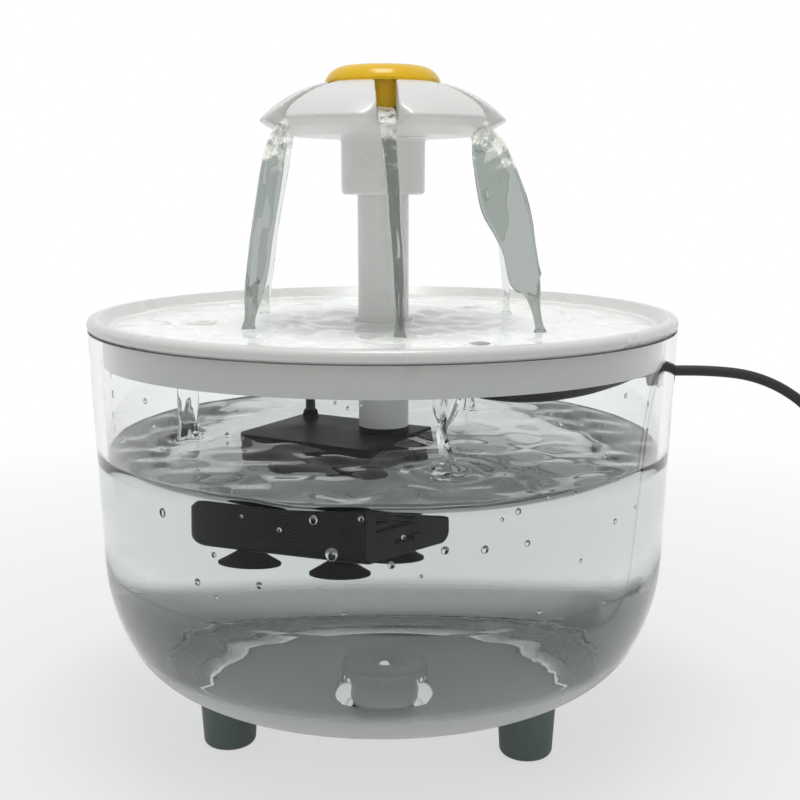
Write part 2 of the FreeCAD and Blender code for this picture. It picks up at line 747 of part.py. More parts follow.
def make_stator():
    """The laminated core round the rotor can, and the coil on its yoke."""
    core = pump_part("stator_core")
    start = f"({CHAMBER_END} + chamber_back)"
    can_end = f"({CHAMBER_END} + chamber_back + well_depth + well_wall)"
    inner = "(rotor_well + well_wall + 0.4)"
    yoke = f"({can_end} + coil_build + 0.6)"
    low = f"0 - {AXIS_HEIGHT} - core_height/2"
    plan = sketch(core, "core_plan", "XY_Plane", low)
    near = f"{PUMP_MIDDLE} - {inner}"
    far = f"{PUMP_MIDDLE} + {inner}"
    outline(plan, [
        (start, near), (start, f"{near} - core_leg"), (f"{yoke} + yoke_length", f"{near} - core_leg"),
        (f"{yoke} + yoke_length", f"{far} + core_leg"), (start, f"{far} + core_leg"), (start, far),
        (yoke, far), (yoke, near)])
    pad(core, plan, "core_height")
    coil = pump_part("stator_coil")
    side = f"{inner} - 0.3"
    block = sketch(coil, "coil_block", "XZ_Plane", f"0 - {PUMP_MIDDLE} - ({side})")
    box_outline(block, f"{yoke} - coil_build", f"{yoke} + yoke_length + coil_build",
                f"{low} - coil_build", f"{low} + core_height + coil_build")
    pad(coil, block, f"2*({side})")
    opening = sketch(coil, "coil_opening", "XZ_Plane", f"0 - {PUMP_MIDDLE} - ({side}) - 1")
    box_outline(opening, yoke, f"{yoke} + yoke_length", low, f"{low} + core_height")
    cut(coil, opening, f"2*({side}) + 2")
    return [core, coil]


def make_back_plate():
    body = pump_part("pump_back_plate")
    plate = pump_section(sketch(body, "back_section", "YZ_Plane", f"{REAR} - pump_wall"), "pump_corner", "pump_corner")
    pad(body, plate, "pump_wall")
    return body


def make_nozzle():
    """The outlet: a collar under the tube, a spigot inside it, and a groove for the sealing ring."""
    body = pump_part("outlet_nozzle")
    spigot = "tube_radius - tube_wall"
    groove = "ring_place - ring_section"
    spin(body, outline(sketch(body, "nozzle_profile"), [
        ("outlet_radius", "0"), ("tube_radius", "0"), ("tube_radius", "nozzle_collar"),
        (spigot, "nozzle_collar"), (spigot, groove), (f"{spigot} - ring_section*2", groove),
        (f"{spigot} - ring_section*2", "ring_place + ring_section"), (spigot, "ring_place + ring_section"),
        (f"{spigot}", "nozzle_length - 0.8"), (f"{spigot} - 0.8", "nozzle_length"),
        ("outlet_radius", "nozzle_length")]))
    seal = pump_part("nozzle_ring")
    page = ring(sketch(seal, "ring_section_circle"), "ring_section", f"{spigot} - ring_section", "ring_place")
    spin(seal, page)
    return [body, seal]


def make_cups():
    """Four rubber suction cups, each held by a nib in the pump's floor."""
    bodies = []
    turn = "pump_turn"
    for number, (x, y) in enumerate(cup_places(), 1):
        body = sub_part(f"suction_cup_{number}", f"({x})*cos({turn}) - ({y})*sin({turn})",
                        f"({x})*sin({turn}) + ({y})*cos({turn})", f"{PUMP_TOP} - pump_height")
        spin(body, outline(sketch(body, "cup_profile"), [
            ("0", "pump_floor - 0.8"), ("0", "0 - cup_height*0.4"),
            ("2.2", "0 - cup_height*0.5", "-12"), ("cup_radius - 0.7", "0 - cup_height"),
            ("cup_radius", "0 - cup_height"), ("cup_radius", "0 - cup_height + 0.7", "14"),
            ("cup_neck", "0 - cup_height*0.2"), ("cup_neck", "0"), ("cup_nib", "0"),
            ("cup_nib", "pump_floor - 0.8")][::-1]))
        bodies.append(body)
    return bodies


GLAND = (f"{REAR} - gland_inset", f"{PUMP_MIDDLE} - pump_width/2 + gland_inset")


def gland_place():
    """The gland's axis in the part's own frame, as formulas."""
    x, y = GLAND
    return (f"({x})*cos(pump_turn) - ({y})*sin(pump_turn)", f"({x})*sin(pump_turn) + ({y})*cos(pump_turn)")


def make_gland():
    body = sub_part("cable_gland", *gland_place(), PUMP_TOP)
    spin(body, outline(sketch(body, "gland_profile"), [
        ("0", "0"), ("gland_radius", "0"), ("gland_radius", "gland_height/2"), ("gland_tip", "gland_height"),
        ("0", "gland_height")]))
    return body


# Grommet: a black rubber plug in the notch of the bowl's rim, with a flange on each side.
def make_grommet():
    body = sub_part("cable_grommet", z=NOTCH_HEIGHT)
    outer = "bowl_top_radius - 0.45"
    inner = f"{SIDE_RADIUS} - bowl_wall + 1.7"
    brim = "notch_radius + grommet_brim"
    pad(body, ring(sketch(body, "inner_flange", "YZ_Plane", f"{inner} - grommet_flange"), brim), "grommet_flange")
    pad(body, ring(sketch(body, "neck", "YZ_Plane", inner), "notch_radius"), f"{outer} - ({inner})")
    pad(body, ring(sketch(body, "outer_flange", "YZ_Plane", outer), brim), "grommet_flange")
    bore = ring(sketch(body, "bore", "YZ_Plane", f"{inner} - grommet_flange - 1"), "cable_radius")
    cut(body, bore, "20")
    return body


# Cables: straight runs joined by tangent arcs.
# The cable inside the bowl rises straight out of the gland. Its further points are the share of the way
# from the gland to the bowl's outside, the place along Y, and the height above the notch.
CABLE_RISE = 6.5
PUMP_CABLE = [
    (-0.0025, 28, -5), (0.027, 32, 0.2), (0.0982, 35.6, 2), (0.1962, 37, -0.6),
    (0.3147, 38, -6.8), (0.4373, 37, -12.5), (0.5681, 33, -15), (0.6866, 25.5, -13.5),
    (0.7847, 15.5, -9.5), (0.8582, 5.5, -4.5),
]
# Points of the free cable: the distance from the bowl's rim, the place along Y, and the share of the
# notch's height above the coil.
CABLE_RUN = [
    (17.2, 0, 1.0017), (33.2, -0.5, 0.9745), (47.2, -2, 0.898), (57.2, -4, 0.7747), (63.2, -6, 0.6173),
    (65.2, -9, 0.4473), (64.7, -14, 0.2857), (63.2, -24, 0.1454), (61.6, -39, 0.0519),
    (60.5, -57, 0.0043),
]
# Points of its last stretch, from the middle of the coil's lower layer. It ends in the plug.
CABLE_TAIL = [
    (29, 20, 3.6), (28.8, 34, 2.2), (28.2, 47.5, 0.5), (27.2, 60.5, 0.3), (26, 72, 1.4),
]
PLUG_POINT = (24.8, 82.5, 2)
COIL_CENTRE = V(size("bowl_top_radius + coil_away"), -size("coil_front"), 0)
COIL_BASE = 2.4
COIL_TURNS = 3.5
COIL_WHOLE = 2 * COIL_TURNS + 0.5
COIL_OUTER = f"(coil_inner + {COIL_WHOLE / 2}*coil_pitch)"


def rounded_path(points):
    """Straight runs joined by tangent arcs as large as their runs allow. Returns a wire and its radii."""
    edges, radii = [], []
    last = points[0]
    for before, corner, after in zip(points, points[1:], points[2:]):
        into, out = (corner - before), (after - corner)
        shorter = min(into.Length, out.Length)
        turn = into.getAngle(out)
        radius = 0.45 * shorter / math.tan(turn / 2)
        radii.append(radius)
        into.normalize()
        out.normalize()
        start = corner - into * (0.45 * shorter)
        end = corner + out * (0.45 * shorter)
        inner = (out - into).normalize()
        middle = corner + inner * (radius / math.cos(turn / 2) - radius)
        edges.append(Part.LineSegment(last, start).toShape())
        edges.append(Part.Arc(start, middle, end).toShape())
        last = end
    edges.append(Part.LineSegment(last, points[-1]).toShape())
    return Part.Wire(edges), radii


def swept(path, radius, start, direction):
    """A round tube along a path, as one solid."""
    section = Part.Wire([Part.Circle(start, direction, radius).toShape()])
    maker = Part.BRepOffsetAPI.MakePipeShell(path)
    maker.add(section)
    maker.build()
    maker.makeSolid()
    return maker.shape()


def solid_piece(name, shape):
    """A piece whose shape is made in code."""
    piece = doc.addObject("Part::Feature", name)
    piece.Label = name
    piece.Shape = shape
    return piece


def cable_piece(name, points):
    radius = size("cable_radius")
    path, radii = rounded_path(points)
    shape = swept(path, radius, points[0], points[1] - points[0])
    ratio = shape.Volume / (math.pi * radius**2 * path.Length)
    print(f"{name}: length {path.Length:.1f}, radii {[round(r, 1) for r in radii]}, volume ratio {ratio:.5f}")
    return solid_piece(name, shape)


def arc_between(start, tangent, end):
    """The arc that leaves start along tangent and ends at end."""
    chord = end - start
    across = tangent - chord * (tangent.dot(chord) / chord.dot(chord))
    if across.Length < 1e-6:
        return Part.LineSegment(start, end).toShape()
    quarter = tangent.getAngle(chord) / 2
    middle = start + chord * 0.5 + across.normalize() * (chord.Length / 2 * math.tan(quarter))
    return Part.Arc(start, middle, end).toShape()


def biarc(start, leaving, end, arriving):
    """Two arcs that leave start and reach end along the given tangents."""
    across = end - start
    both = leaving + arriving
    spare = 2 * (1 - leaving.dot(arriving))
    reach = (math.sqrt(across.dot(both) ** 2 + spare * across.dot(across)) - across.dot(both)) / spare
    meeting = (start + leaving * reach + end - arriving * reach) * 0.5
    first = arc_between(start, leaving, meeting)
    second = arc_between(meeting, (meeting - (start + leaving * reach)).normalize(), end)
    return [first, second]


def coil_point(turns):
    """A point of the coil after so many turns: in on the lower layer, out on the upper one."""
    pitch = size("coil_pitch")
    inward = min(turns, COIL_WHOLE - turns)
    rise = min(max((turns - COIL_TURNS) / 0.5, 0), 1)
    smooth = rise * rise * (3 - 2 * rise)
    angle = math.pi + 2 * math.pi * turns
    radius = size(COIL_OUTER) - pitch * inward
    return COIL_CENTRE + V(radius * math.cos(angle), radius * math.sin(angle), COIL_BASE + pitch * smooth)


def coil_tangent(turns):
    step = 1e-4
    low, high = max(turns - step, 0), min(turns + step, COIL_WHOLE)
    return (coil_point(high) - coil_point(low)).normalize()


def make_coil():
    """The put-away length: seven turns in two layers and the climb between them."""
    radius = size("cable_radius")
    lead = 2 * radius
    marks = [n * 0.25 for n in range(int(COIL_WHOLE * 4) + 1)]
    points = [coil_point(mark) for mark in marks]
    ways = [coil_tangent(mark) for mark in marks]
    ways[0], ways[-1] = V(0, -1, 0), V(0, 1, 0)
    entry = points[0] - ways[0] * lead
    leave = points[-1] + ways[-1] * lead
    edges = [Part.LineSegment(entry, points[0]).toShape()]
    for start, leaving, end, arriving in zip(points, ways, points[1:], ways[1:]):
        edges += biarc(start, leaving, end, arriving)
    edges.append(Part.LineSegment(points[-1], leave).toShape())
    path = Part.Wire(edges)
    shape = swept(path, radius, entry, ways[0])
    print(f"cable_coil: length {path.Length:.1f}, gap {coil_gap(path, radius):.2f}, "
          f"volume ratio {shape.Volume / (math.pi * radius**2 * path.Length):.5f}")
    return solid_piece("cable_coil", shape), entry, leave


def coil_gap(path, radius):
    """The least gap between stretches of the coil that aren't neighbours, on points 2 mm apart."""
    points = path.discretize(Distance=2.0)
    apart = int(8 * radius / 2.0) + 4
    least = min((one - other).Length for n, one in enumerate(points) for other in points[n + apart:])
    return least - 2 * radius


def make_tie():
    """A flat band round the coil's bundle of turns, on the side away from the plug."""
    radius, pitch = size("cable_radius"), size("coil_pitch")
    thick, width = size("tie_thick"), size("tie_width")
    inner = size("coil_inner") - radius - 0.15
    outer = size(COIL_OUTER) + radius + 0.15
    low, high = COIL_BASE - radius - 0.1, COIL_BASE + pitch + radius + 0.15
    turn = V(COIL_CENTRE.x - width / 2, COIL_CENTRE.y, 0)

    def block(grow):
        shape = Part.makeBox(width, outer - inner + 2 * grow, high - low + 2 * grow)
        shape.translate(turn + V(0, -outer - grow, low - grow))
        along = [edge for edge in shape.Edges if edge.BoundBox.XLength > width - 0.01]
        return shape.makeFillet(1.2 + grow, along)

    return solid_piece("cable_tie", block(thick).cut(block(0.0)))


def make_plug(at, way):
    """The plug: a moulded body with a tapered relief, a metal shell, and its tongue."""
    turn = FreeCAD.Rotation(V(1, 0, 0), way)
    place = FreeCAD.Placement(at, turn)
    relief, length = size("relief_length"), size("plug_length")
    wide, high = size("plug_width"), size("plug_height")
    cone = Part.makeCone(size("cable_radius") + 0.35, size("relief_radius"), relief, V(0, 0, 0), V(1, 0, 0))
    block = Part.makeBox(length, wide, high, V(relief, -wide / 2, -high / 2))
    block = block.makeFillet(2.4, [edge for edge in block.Edges if edge.BoundBox.XLength > length - 0.01])
    body = cone.fuse(block).removeSplitter()
    out = relief + length
    metal, across, tall, wall = (size("shell_" + word) for word in ("length", "width", "height", "wall"))
    shell = Part.makeBox(metal, across, tall, V(out, -across / 2, -tall / 2))
    space = Part.makeBox(metal, across - 2 * wall, tall - 2 * wall, V(out, -across / 2 + wall, -tall / 2 + wall))
    tongue = Part.makeBox(metal - 1, across - 2 * wall, (tall - 2 * wall) / 2, V(out, -across / 2 + wall, 0))
    pieces = [("usb_plug_body", body), ("usb_plug_shell", shell.cut(space)), ("usb_plug_tongue", tongue)]
    made = []
    for name, shape in pieces:
        piece = solid_piece(name, shape)
        piece.Placement = place
        made.append(piece)
    return made


def make_cables():
    gland_x, gland_y = (size(formula) for formula in gland_place())
    gland_top = size(f"{PUMP_TOP} + gland_height")
    notch = size(NOTCH_HEIGHT)
    leaving = size("bowl_top_radius - 0.45 + grommet_flange")
    exit_point = V(leaving, 0, notch)
    inner = [V(gland_x, gland_y, gland_top), V(gland_x, gland_y, gland_top + CABLE_RISE)]
    inner += [V(gland_x + share * (leaving - gland_x), y, notch + above) for share, y, above in PUMP_CABLE]
    inner += [exit_point - V(9.85, 0, 0), exit_point]
    pump_cable = cable_piece("pump_cable", inner)
    coil, entry, leave = make_coil()
    rim, drop = size("bowl_top_radius"), notch - COIL_BASE
    outer = [V(rim + away, y, COIL_BASE + share * drop) for away, y, share in CABLE_RUN]
    run = cable_piece("cable_run", [exit_point, *outer, entry])
    base = COIL_CENTRE + V(0, 0, COIL_BASE)
    last = [base + V(*point) for point in [*CABLE_TAIL, PLUG_POINT]]
    tail = cable_piece("cable_tail", [leave, *last])
    way = last[-1] - last[-2]
    return [pump_cable, run, coil, tail, make_tie()] + make_plug(last[-1], V(way.x, way.y, 0).normalize())


pieces = [make_bowl()]
pieces += [make_foot(name, number) for number, name in enumerate(("foot_rear", "foot_left", "foot_right"))]
pieces += [make_tray(), make_tube(), make_flower(), make_heart(), make_housing(), make_front_cover()]
pieces += [make_flow_slider(), make_sponge(), make_volute_cover(), *make_rotor_parts(), *make_stator(), make_back_plate()]
pieces += [*make_nozzle(), *make_cups(), make_gland(), make_grommet(), *make_cables()]
doc.recompute()

for thing in doc.Objects:
    if "Invalid" in thing.State or "Error" in thing.State:
        raise RuntimeError(f"{thing.Name} failed: {thing.State}")
for piece in pieces:
    shape = piece.Shape
    if shape.isNull() or not shape.isValid() or not shape.Solids:
        raise RuntimeError(f"{piece.Label} has no valid solid")

os.makedirs("parts", exist_ok=True)
for piece in pieces:
    piece.Shape.exportStep(f"parts/{piece.Label}.step")
print(f"{len(pieces)} pieces")
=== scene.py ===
import math

import bmesh
import bpy
from mathutils import Matrix, Vector, noise
from mathutils.bvhtree import BVHTree


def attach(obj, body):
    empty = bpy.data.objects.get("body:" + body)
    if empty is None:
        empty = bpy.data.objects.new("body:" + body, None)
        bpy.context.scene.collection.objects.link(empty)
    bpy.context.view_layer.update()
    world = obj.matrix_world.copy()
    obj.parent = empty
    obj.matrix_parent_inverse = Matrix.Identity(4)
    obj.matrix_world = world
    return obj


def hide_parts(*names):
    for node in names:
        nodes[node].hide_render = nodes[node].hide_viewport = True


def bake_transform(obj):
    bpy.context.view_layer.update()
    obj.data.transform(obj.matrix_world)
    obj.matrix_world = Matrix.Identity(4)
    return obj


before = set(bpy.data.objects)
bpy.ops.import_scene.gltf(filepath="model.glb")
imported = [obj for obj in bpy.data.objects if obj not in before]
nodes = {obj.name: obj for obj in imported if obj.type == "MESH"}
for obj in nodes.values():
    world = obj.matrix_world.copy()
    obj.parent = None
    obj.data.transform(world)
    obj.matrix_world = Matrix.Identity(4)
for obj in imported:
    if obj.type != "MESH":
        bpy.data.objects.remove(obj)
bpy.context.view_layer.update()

scene = bpy.context.scene
scene.view_settings.view_transform = "Standard"


# Camera: it stands 400 mm in front of the bowl's middle at flower height and looks down a little.
# Its place, tilt and lens come from the ellipses of the rim, the skirt, the waterline and the feet.
camera = bpy.data.objects.new("camera", bpy.data.cameras.new("camera"))
camera.data.lens = 54.8
camera.data.sensor_width = 36
camera.data.clip_start = 0.01
camera.location = (0.00545, -0.4, 0.1828)
camera.rotation_euler = (math.radians(90 - 10.31), 0, 0)
scene.collection.objects.link(camera)
scene.camera = camera


# Free cable: 1.3 m of round 3.5 mm PVC lead from the grommet in the bowl's rim to a USB plug.
# It drops to the table beside the bowl, and the spare length lies in a two-layer coil with a tie.
CABLE_RUN = [
    (95.85, 0, 120), (112, 0, 120.2), (128, -0.5, 117), (142, -2, 108), (152, -4, 93.5), (158, -6, 75),
    (160, -9, 55), (159.5, -14, 36), (158, -24, 19.5), (156.4, -39, 8.5), (155.3, -57, 2.9),
    (155, -74.5, 2.4),
]
CABLE_TAIL = [
    (213, -74.5, 6.4), (213, -58, 6), (212.8, -44, 4.6), (212.2, -30.5, 2.9), (211.2, -17.5, 2.7),
    (210, -6, 3.8), (208.8, 4.5, 4.4),
]
COIL_MIDDLE = (184, -78)
COIL_TURNS = 7.5
COIL_STEPS = 16
CABLE_RADIUS = 1.75


def metres(points):
    return [Vector(point) / 1000 for point in points]


def new_material(name):
    """A node material, with its node adder, linker, Principled BSDF and object coordinates."""
    made = bpy.data.materials.new(name)
    made.use_nodes = True
    tree = made.node_tree
    shader = tree.nodes["Principled BSDF"]
    place = tree.nodes.new("ShaderNodeTexCoord").outputs["Object"]

    def add(kind, **inputs):
        node = tree.nodes.new("ShaderNode" + kind)
        for key, value in inputs.items():
            node.inputs[key.replace("_", " ")].default_value = value
        return node

    return made, add, tree.links.new, shader, place


def moulded(name, colour, roughness, clouding=0.05, grain=900, relief=0.1, depth=0.0001, **sockets):
    """A moulded surface: slightly clouded colour, uneven gloss, and a fine grain."""
    made, add, link, shader, place = new_material(name)
    cloud = add("TexNoise", Scale=45.0, Detail=4.0)
    fine = add("TexNoise", Scale=float(grain), Detail=3.0)
    link(place, cloud.inputs["Vector"])
    link(place, fine.inputs["Vector"])
    tone = add("ValToRGB")
    low, high = tone.color_ramp.elements
    low.position, high.position = 0.3, 0.7
    low.color = (*(value * (1 - clouding) for value in colour), 1)
    high.color = (*(min(1, value * (1 + clouding)) for value in colour), 1)
    link(cloud.outputs["Fac"], tone.inputs["Fac"])
    link(tone.outputs["Color"], shader.inputs["Base Color"])
    gloss = add("MapRange", From_Min=0.3, From_Max=0.7, To_Min=roughness * 0.8, To_Max=roughness * 1.25)
    link(cloud.outputs["Fac"], gloss.inputs["Value"])
    link(gloss.outputs["Result"], shader.inputs["Roughness"])
    bump = add("Bump", Strength=relief, Distance=depth)
    link(fine.outputs["Fac"], bump.inputs["Height"])
    link(bump.outputs["Normal"], shader.inputs["Normal"])
    for key, value in sockets.items():
        shader.inputs[key.replace("_", " ")].default_value = value
    return made


def dress(material, *names):
    """Gives the source's pieces their material."""
    for name in names:
        for place in nodes[name].material_slots:
            place.material = material


def nurbs(name, points, radius):
    """A round lead along a curve through chosen points, in millimetres."""
    curve = bpy.data.curves.new(name, "CURVE")
    curve.dimensions = "3D"
    spline = curve.splines.new("NURBS")
    spline.points.add(len(points) - 1)
    for control, point in zip(spline.points, metres(points)):
        control.co = (*point, 1)
    spline.order_u = 3
    spline.use_endpoint_u = True
    spline.resolution_u = 8
    curve.bevel_depth = radius / 1000
    curve.bevel_resolution = 5
    curve.use_fill_caps = True
    made = bpy.data.objects.new(name, curve)
    scene.collection.objects.link(made)
    return made


jacket = moulded("cable_jacket", (0.018, 0.018, 0.02), 0.42, clouding=0.2, grain=1400, relief=0.15,
                 Specular_IOR_Level=0.45)
coil_points = []
for step in range(int(COIL_TURNS * COIL_STEPS) + 1):
    turn = step / COIL_STEPS
    layer = min(1, max(0, (turn - 3.5) / 0.5))
    reach = (29 - 4 * min(turn, COIL_TURNS - turn)) / math.cos(math.pi / COIL_STEPS)
    angle = math.pi * (1 + 2 * turn)
    coil_points.append((COIL_MIDDLE[0] + reach * math.cos(angle), COIL_MIDDLE[1] + reach * math.sin(angle),
                        2.4 + 4 * layer * layer * (3 - 2 * layer)))
lead = nurbs("cable_lead", CABLE_RUN + coil_points + CABLE_TAIL, CABLE_RADIUS)
lead.data.materials.append(jacket)
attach(lead, "root")
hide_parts("cable_run", "cable_coil", "cable_tail")
dress(jacket, "cable_run", "cable_coil", "cable_tail")
dress(moulded("tie_plastic", (0.03, 0.03, 0.032), 0.55, grain=2500, relief=0.3), "cable_tie")
dress(moulded("plug_plastic", (0.02, 0.02, 0.022), 0.4, grain=1800, relief=0.25), "usb_plug_body")
dress(moulded("plug_metal", (0.72, 0.73, 0.75), 0.28, grain=3000, relief=0.1, Metallic=1.0), "usb_plug_shell")
dress(moulded("plug_tongue", (0.82, 0.82, 0.8), 0.5), "usb_plug_tongue")


# Inner cable: the same lead inside the bowl, from the pump's gland up and across to the grommet.
# It sags just under the tray's skirt, and bends as the tray is lifted out.
INNER_CABLE = [
    (95.85, 0, 120), (86, 0, 120), (78.5, 5.5, 115.5), (69.5, 15.5, 110.5), (57.5, 25.5, 106.5),
    (43, 33, 105), (27, 37, 107.5), (12, 38, 113.2), (-2.5, 37, 119.4), (-14.5, 35.6, 122),
    (-23.2, 32, 120.2), (-26.8, 28, 115), (-26.5, 26.3, 108.8), (-26.5, 26.3, 102.3),
]
route = nurbs("pump_lead_route", INNER_CABLE, CABLE_RADIUS)
inner_lead = bpy.data.objects.new("pump_lead", bpy.data.meshes.new_from_object(route))
bpy.data.objects.remove(route)
inner_lead.data.materials.append(jacket)
scene.collection.objects.link(inner_lead)
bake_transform(inner_lead)
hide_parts("pump_cable")
dress(jacket, "pump_cable")


# Bowl: thick clear injection-moulded acrylic with faint moulding waves and a faintly speckled gloss.
# Its base, corner and boss are frosted. Shadow rays pass straight through it to what it holds.
FROST_ROUGHNESS = 0.55
FROST_CLEARNESS = 0.45
CORNER_FROST = 0.7
CORNER_FADE = 0.005
BASE_TOP = 0.0231
CORNER_TOP = 0.038
BOSS_RADIUS = 0.0115


def joined(add, link, how, first, second):
    made = add("Math")
    made.operation = how
    link(first, made.inputs[0])
    link(second, made.inputs[1])
    return made.outputs["Value"]


def blend_at(add, link, value, edge, under=1.0, over=0.0, soft=0.0006):
    """The first value under an edge and the second over it."""
    made = add("MapRange", From_Min=edge, From_Max=edge + soft, To_Min=under, To_Max=over)
    link(value, made.inputs["Value"])
    return made.outputs["Result"]


def clear(name, ior, tint, roughness, shade, waves=0.0, wave_size=60.0, frosted=None):
    """A clear material whose shadow rays lose only the shade. What is frosted is given by the
    heights of the bowl's base and corner, and by the boss's radius."""
    made, add, link, shader, place = new_material(name)
    shader.inputs["Transmission Weight"].default_value = 1
    shader.inputs["IOR"].default_value = ior
    shader.inputs["Base Color"].default_value = (*tint, 1)
    shader.inputs["Specular Tint"].default_value = (0.2, 0.2, 0.2, 1)
    speckle = add("TexNoise", Scale=220.0, Detail=5.0)
    link(place, speckle.inputs["Vector"])
    gloss = add("MapRange", From_Min=0.55, From_Max=0.8, To_Min=roughness, To_Max=roughness + 0.04)
    link(speckle.outputs["Fac"], gloss.inputs["Value"])
    link(gloss.outputs["Result"], shader.inputs["Roughness"])
    if frosted:
        base_top, corner_top, boss_radius = frosted
        part = add("SeparateXYZ")
        link(place, part.inputs["Vector"])
        flat = add("VectorMath")
        flat.operation = "MULTIPLY"
        flat.inputs[1].default_value = (1, 1, 0)
        link(place, flat.inputs[0])
        away = add("VectorMath")
        away.operation = "LENGTH"
        link(flat.outputs["Vector"], away.inputs[0])
        base = blend_at(add, link, part.outputs["Z"], base_top)
        boss = blend_at(add, link, away.outputs["Value"], boss_radius)
        corner_start = corner_top - CORNER_FADE
        corner = blend_at(add, link, part.outputs["Z"], corner_start, CORNER_FROST, 0.0, CORNER_FADE)
        frost = joined(add, link, "MAXIMUM", base, joined(add, link, "MAXIMUM", boss, corner))
        dullness = blend_at(add, link, frost, 0.0, 0.0, FROST_ROUGHNESS, 1.0)
        link(joined(add, link, "MAXIMUM", gloss.outputs["Result"], dullness), shader.inputs["Roughness"])
        link(blend_at(add, link, frost, 0.0, 1.0, FROST_CLEARNESS, 1.0), shader.inputs["Transmission Weight"])
    if waves:
        slow = add("TexNoise", Scale=wave_size, Detail=1.0)
        link(place, slow.inputs["Vector"])
        bump = add("Bump", Strength=waves, Distance=0.001)
        link(slow.outputs["Fac"], bump.inputs["Height"])
        link(bump.outputs["Normal"], shader.inputs["Normal"])
    through = add("BsdfTransparent", Color=(*shade, 1))
    path = add("LightPath")
    both = add("MixShader")
    link(path.outputs["Is Shadow Ray"], both.inputs["Fac"])
    link(shader.outputs["BSDF"], both.inputs[1])
    link(through.outputs["BSDF"], both.inputs[2])
    link(both.outputs["Shader"], made.node_tree.nodes["Material Output"].inputs["Surface"])
    return made, add, link


dress(clear("clear_plastic", 1.49, (0.91, 0.925, 0.92), 0.0, (0.94, 0.95, 0.95), waves=0.02,
            frosted=(BASE_TOP, CORNER_TOP, BOSS_RADIUS))[0], "bowl")
dress(moulded("foot_rubber", (0.115, 0.15, 0.135), 0.6, clouding=0.12, grain=1600, relief=0.3),
      "foot_left", "foot_right", "foot_rear")
dress(moulded("grommet_rubber", (0.02, 0.02, 0.02), 0.6, grain=1500, relief=0.3), "cable_grommet")


# Reservoir: the water in the bowl, up to a rippled surface 37 mm below the rim.
# Its outline is taken from the bowl's inner face, and reaches a little into the wall so that no air shows.
WATER_LEVEL = 98.7
SPLASHES = [(19, -53, 1.1, 7.5, 9), (-66, -7, 0.8, 7, 7), (31.8, 48, 0.7, 7, 7)]
CHOP = [(0.10, 0.07, 0.0, 0.35), (-0.16, 0.21, 1.3, 0.28), (0.29, -0.13, 2.1, 0.2), (0.07, 0.38, 4.0, 0.16),
        (-0.42, -0.24, 0.7, 0.1)]


def swell(x, y, chop, rings):
    """The height of a rippled surface above its level, in millimetres."""
    bend = 1.2 * math.sin(0.05 * x + 0.6) + 1.1 * math.sin(0.06 * y + 2)
    height = 0
    for across, along, phase, rise in chop:
        height += rise * math.sin(across * x + along * y + phase + bend)
    for ring_x, ring_y, rise, wave, fade in rings:
        away = math.hypot(x - ring_x, y - ring_y)
        height += rise * math.cos(2 * math.pi * away / wave) * math.exp(-away / fade)
    return height


def finished(name, mesh):
    """The mesh as a smooth-shaded object whose faces point outwards."""
    bmesh.ops.recalc_face_normals(mesh, faces=mesh.faces)
    for face in mesh.faces:
        face.smooth = True
    data = bpy.data.meshes.new(name)
    mesh.to_mesh(data)
    mesh.free()
    made = bpy.data.objects.new(name, data)
    scene.collection.objects.link(made)
    return made


def spun(name, outline, level, rise, closed=False):
    """A body of water: an outline of radii and heights in millimetres is spun full round, and what lies
    at the water's level is then rippled."""
    mesh = bmesh.new()
    corners = [mesh.verts.new(Vector((radius, 0, height)) / 1000) for radius, height in outline]
    edges = [mesh.edges.new(pair) for pair in zip(corners, corners[1:])]
    if closed:
        edges.append(mesh.edges.new((corners[-1], corners[0])))
    bmesh.ops.spin(mesh, geom=corners + edges, cent=(0, 0, 0), axis=(0, 0, 1), angle=2 * math.pi, steps=ROUND,
                   use_merge=True)
    bmesh.ops.remove_doubles(mesh, verts=mesh.verts, dist=0.000001)
    for vert in mesh.verts:
        if abs(vert.co.z * 1000 - level) < 0.001:
            vert.co.z += rise(vert.co.x * 1000, vert.co.y * 1000) / 1000
    return finished(name, mesh)


bowl_tree = BVHTree.FromObject(nodes["bowl"], bpy.context.evaluated_depsgraph_get())
ROUND = 192
IN_WALL = 0.2
FLOOR_RADII = [2, 4, 6, 8, 9.4, 10.1, 10.45, 10.7, 12, 20, 34, 46, 54]
inside = []
for reach in FLOOR_RADII:
    spot = bowl_tree.ray_cast(Vector((reach, 0, 60)) / 1000, Vector((0, 0, -1)))[0]
    inside.append((reach, spot.z * 1000 - IN_WALL))
for step in range(44):
    slope = math.radians(-46 + 60 * step / 43)
    aim = Vector((math.cos(slope), 0, math.sin(slope)))
    spot = bowl_tree.ray_cast(Vector((0, 0, 0.074)), aim)[0]
    inside.append((spot.x * 1000 + IN_WALL, spot.z * 1000))
inside = [(0, inside[0][1])] + [(r, z) for r, z in inside if z < WATER_LEVEL - 3]
wall = bowl_tree.ray_cast(Vector((0, 0, WATER_LEVEL / 1000)), Vector((1, 0, 0)))[0].x * 1000


def reservoir_rise(x, y):
    r = math.hypot(x, y)
    calm = min(1, max(0.25, (wall + 4 - r) / 12))
    climb = max(0, (r - wall + 2) / 2)
    return swell(x, y, CHOP, SPLASHES) * calm + 0.15 * climb * climb


